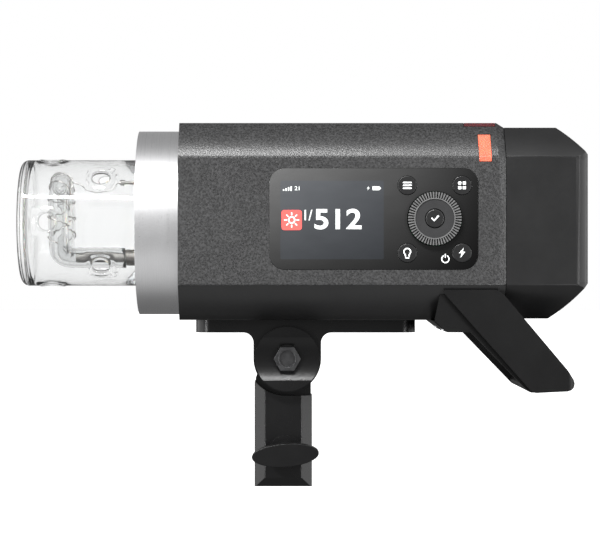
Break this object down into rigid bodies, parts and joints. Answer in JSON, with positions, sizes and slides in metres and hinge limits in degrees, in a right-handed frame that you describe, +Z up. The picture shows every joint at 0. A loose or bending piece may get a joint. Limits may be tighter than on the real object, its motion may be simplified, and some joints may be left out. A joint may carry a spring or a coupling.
{
  "type": "monolight strobe",
  "caption": "Battery monolight with a clear tube cover in a round accessory collar, side control panel, carry handle and tilting bracket with a stand socket.",
  "frame": {"origin": "centre of the accessory collar's front rim, on the optical axis", "axes": "-X is the way the flash fires, +X towards the battery, +Z up, the control panel faces -Y"},
  "size_m": [0.3025, 0.1193, 0.1948],
  "materials": {
    "shell_texture": "grained",
    "case_black": "satin",
    "pack_case": "satin",
    "collar_aluminium": "satin",
    "plate_steel": "satin",
    "clear_glass": "clear",
    "electrode_metal": "dark",
    "ceramic": "matt",
    "led": "clear dome",
    "lead_rubber": "matt",
    "panel_gloss": "gloss",
    "button_black": "satin",
    "board": "solder mask",
    "coral": "satin",
    "red_window": "translucent",
    "capacitor_can": "sleeved",
    "copper": "plain",
    "sink_aluminium": "extruded",
    "chip": "moulded",
    "light_pipe": "clear",
    "bracket_black": "satin black",
    "bolt_black": "black oxide",
    "washer": "fibre",
    "knob": "satin",
    "handle": "fine matt"
  },
  "bodies": {
    "stand": {"stand_receiver": "bracket_black"},
    "head": {"housing_shell": "shell_texture", "bottom_cover": "case_black", "front_plate": "plate_steel", "mount_ring": "collar_aluminium", "ring_screws": "plate_steel", "case_screws": "plate_steel", "glass_clips": "plate_steel", "flash_tube": "clear_glass", "electrodes": "electrode_metal", "trigger_wire": "electrode_metal", "tube_socket": "ceramic", "reflector_dish": "collar_aluminium", "modelling_lamp": "led", "tube_leads": "lead_rubber", "control_panel": "panel_gloss", "display_module": "panel_gloss", "control_board": "board", "dial_encoder": "button_black", "indicator_bar": "coral", "sensor_window": "red_window", "light_sensor": "board", "radio_module": "board", "capacitor_bank": "capacitor_can", "capacitor_frame": "case_black", "main_board": "board", "charge_transformer": "copper", "heat_sink": "sink_aluminium", "power_transistors": "chip", "fan_frame": "case_black", "battery_bulkhead": "case_black", "contact_blades": "copper", "sync_jack": "chip", "usb_port": "plate_steel", "tilt_bracket": "bracket_black", "bracket_screws": "plate_steel", "pivot_cap": "bracket_black", "pivot_bolt": "bolt_black", "friction_washers": "washer", "carry_handle": "handle"},
    "clamp_screw": {"clamp_knob": "knob"},
    "clamp_pad": {"clamp_shoe": "copper"},
    "tilt_lock": {"tilt_lever": "bracket_black"},
    "tube_cover": {"glass_cover": "clear_glass"},
    "dial": {"control_dial": "button_black"},
    "set_key": {"set_button": "button_black"},
    "menu_key": {"menu_button": "button_black"},
    "mode_key": {"mode_button": "button_black"},
    "lamp_key": {"lamp_button": "button_black"},
    "flash_key": {"flash_button": "button_black"},
    "fan": {"fan_rotor": "chip"},
    "port_flap": {"port_cover": "lead_rubber"},
    "accessory_lock": {"lock_slider": "case_black"},
    "battery": {"battery_case": "pack_case", "battery_front": "case_black", "battery_cells": "capacitor_can", "battery_terminals": "chip", "level_lights": "light_pipe"},
    "battery_release": {"battery_latch": "case_black"},
    "battery_check": {"level_button": "pack_case"}
  },
  "joints": [
    {"name": "tilt", "type": "hinge", "parent": "stand", "child": "head", "pos_m": [0.0804, 0, -0.0734], "axis": [0, 1, 0], "range_deg": [-65, 70]},
    {"name": "clamp_turn", "type": "hinge", "parent": "stand", "child": "clamp_screw", "pos_m": [0.0795, 0, -0.1235], "axis": [0, 1, 0], "range_deg": [0, 720]},
    {"name": "clamp_press", "type": "slide", "parent": "stand", "child": "clamp_pad", "axis": [0, 1, 0], "range_m": [0, 0.002]},
    {"name": "lever_swing", "type": "hinge", "parent": "head", "child": "tilt_lock", "pos_m": [0.0804, 0, -0.0734], "axis": [0, 1, 0], "range_deg": [0, 90]},
    {"name": "cover_pull", "type": "slide", "parent": "head", "child": "tube_cover", "axis": [-1, 0, 0], "range_m": [0, 0.09]},
    {"name": "dial_turn", "type": "hinge", "parent": "head", "child": "dial", "pos_m": [0.1576, 0, 0.0011], "axis": [0, 1, 0], "continuous": true},
    {"name": "set_press", "type": "slide", "parent": "head", "child": "set_key", "axis": [0, 1, 0], "range_m": [0, 0.0007], "stiffness_N_per_m": 500, "springref_m": -0.001},
    {"name": "menu_press", "type": "slide", "parent": "head", "child": "menu_key", "axis": [0, 1, 0], "range_m": [0, 0.0007], "stiffness_N_per_m": 500, "springref_m": -0.001},
    {"name": "mode_press", "type": "slide", "parent": "head", "child": "mode_key", "axis": [0, 1, 0], "range_m": [0, 0.0007], "stiffness_N_per_m": 500, "springref_m": -0.001},
    {"name": "lamp_press", "type": "slide", "parent": "head", "child": "lamp_key", "axis": [0, 1, 0], "range_m": [0, 0.0007], "stiffness_N_per_m": 500, "springref_m": -0.001},
    {"name": "flash_press", "type": "slide", "parent": "head", "child": "flash_key", "axis": [0, 1, 0], "range_m": [0, 0.0007], "stiffness_N_per_m": 500, "springref_m": -0.001},
    {"name": "fan_spin", "type": "hinge", "parent": "head", "child": "fan", "pos_m": [0.1103, 0, 0], "axis": [0, 1, 0], "continuous": true},
    {"name": "flap_open", "type": "hinge", "parent": "head", "child": "port_flap", "pos_m": [0.165, 0.0575, -0.0073], "axis": [-1, 0, 0], "range_deg": [0, 100]},
    {"name": "lock_slide", "type": "slide", "parent": "head", "child": "accessory_lock", "axis": [1, 0, 0], "range_m": [0, 0.004], "stiffness_N_per_m": 800, "springref_m": -0.001},
    {"name": "battery_slide", "type": "slide", "parent": "head", "child": "battery", "axis": [1, 0, 0], "range_m": [0, 0.06]},
    {"name": "latch_press", "type": "slide", "parent": "battery", "child": "battery_release", "axis": [0, -1, 0], "range_m": [0, 0.0025], "stiffness_N_per_m": 1500, "springref_m": -0.0005},
    {"name": "check_press", "type": "slide", "parent": "battery", "child": "battery_check", "axis": [-1, 0, 0], "range_m": [0, 0.0004], "stiffness_N_per_m": 200, "springref_m": -0.002}
  ],
  "couplings": [
    {"joint": "clamp_press", "follows": "clamp_turn", "m_per_rad": 0.00015915}
  ]
}
